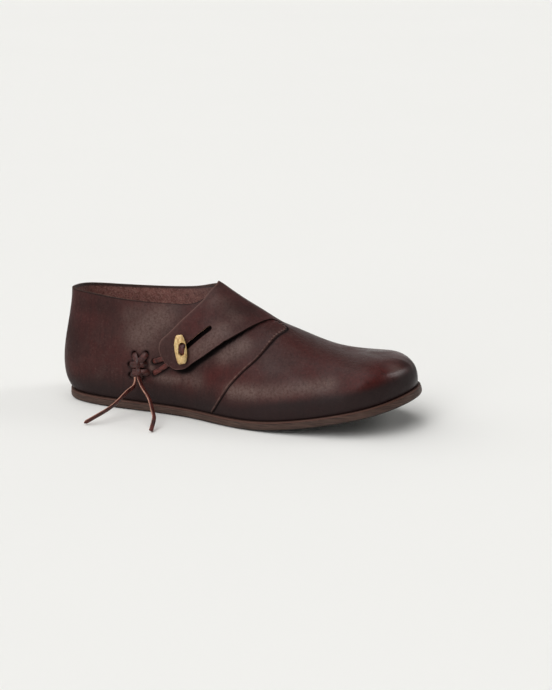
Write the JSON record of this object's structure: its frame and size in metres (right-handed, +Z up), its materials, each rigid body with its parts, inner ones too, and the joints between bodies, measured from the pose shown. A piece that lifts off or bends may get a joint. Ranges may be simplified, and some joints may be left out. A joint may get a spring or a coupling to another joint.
{
  "type": "leather shoe",
  "caption": "Low leather wrap shoe: hollow upper open at the collar, flat sole with toe spring, and an instep strap fastened on the outer side by a toggle on a laced thong.",
  "frame": {"origin": "centre of the standing shoe's box on the floor plane, thong left out", "axes": "+X from heel to toe, +Y towards the inner side of the foot, +Z up"},
  "size_m": [0.2864, 0.1314, 0.0989],
  "materials": {
    "upper_leather": "waxed, dark red brown",
    "sole_leather": "burnished edge",
    "insole_leather": "rough flesh side",
    "toggle_horn": "carved horn or antler, satin",
    "thong_leather": "dyed, cut edges paler"
  },
  "bodies": {
    "root": {"outsole": "sole_leather", "insole": "insole_leather", "upper": "upper_leather", "side_seam": "upper_leather", "wrap_strap": "upper_leather", "toggle": "toggle_horn", "toggle_loop": "thong_leather", "thong_knot": "thong_leather", "thong_end_rear": "thong_leather", "thong_end_front": "thong_leather"}
  },
  "joints": []
}
